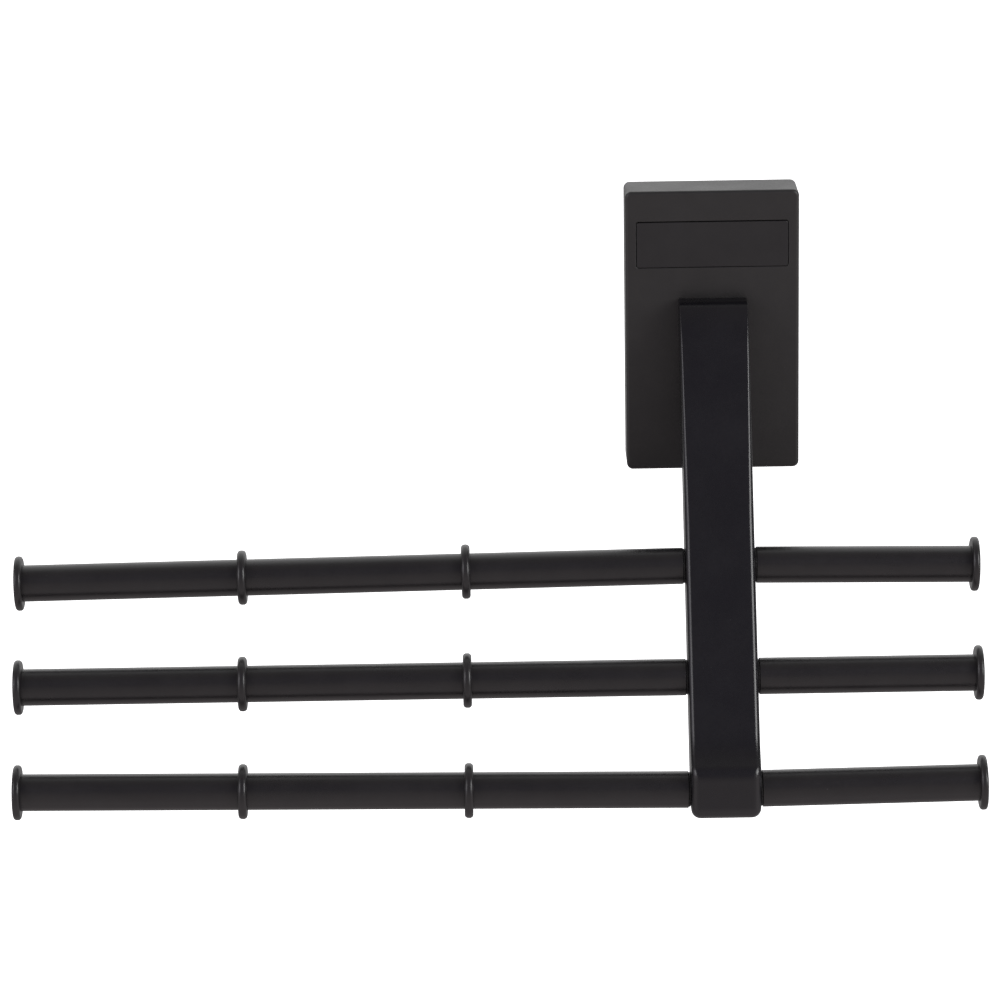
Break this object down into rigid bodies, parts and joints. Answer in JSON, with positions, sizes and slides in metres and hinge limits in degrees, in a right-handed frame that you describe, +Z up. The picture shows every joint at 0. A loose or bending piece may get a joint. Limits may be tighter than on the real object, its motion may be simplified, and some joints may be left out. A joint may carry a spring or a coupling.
{
  "type": "towel rack",
  "caption": "Wall-mounted black towel rack: a leaning arm from a box-shaped wall casing carries stacked pegs with divider rings and flanged ends.",
  "frame": {"origin": "centre of the casing's back face, on the wall", "axes": "+Y into the wall, -Y out towards the user, +X to the user's right along the pegs, +Z up"},
  "size_m": [0.3542, 0.1154, 0.2129],
  "materials": {
    "casing": "satin fine-textured black",
    "cover": "satin fine-textured black",
    "arm": "smooth semi-gloss black coat",
    "tube": "satin black coat",
    "trim": "satin black",
    "collar": "matte black",
    "steel": "zinc-plated",
    "brass": "turned"
  },
  "bodies": {
    "rack": {"casing": "casing", "wall_plate": "steel", "casing_screws": "steel", "arm_screws": "steel", "arm": "arm", "top_left_tube": "tube", "top_left_collar": "collar", "top_left_plug": "brass", "top_left_end_cap": "trim", "top_right_tube": "tube", "top_right_collar": "collar", "top_right_plug": "brass", "top_right_end_cap": "trim", "top_inner_divider": "trim", "top_outer_divider": "trim", "top_studs": "steel", "middle_left_tube": "tube", "middle_left_collar": "collar", "middle_left_plug": "brass", "middle_left_end_cap": "trim", "middle_right_tube": "tube", "middle_right_collar": "collar", "middle_right_plug": "brass", "middle_right_end_cap": "trim", "middle_inner_divider": "trim", "middle_outer_divider": "trim", "middle_studs": "steel", "bottom_left_tube": "tube", "bottom_left_collar": "collar", "bottom_left_plug": "brass", "bottom_left_end_cap": "trim", "bottom_right_tube": "tube", "bottom_right_collar": "collar", "bottom_right_plug": "brass", "bottom_right_end_cap": "trim", "bottom_inner_divider": "trim", "bottom_outer_divider": "trim", "bottom_studs": "steel"},
    "cover": {"screw_cover": "cover"}
  },
  "joints": [
    {"name": "cover_pull", "type": "slide", "parent": "rack", "child": "cover", "axis": [0, -1, 0], "range_m": [0, 0.02]}
  ]
}
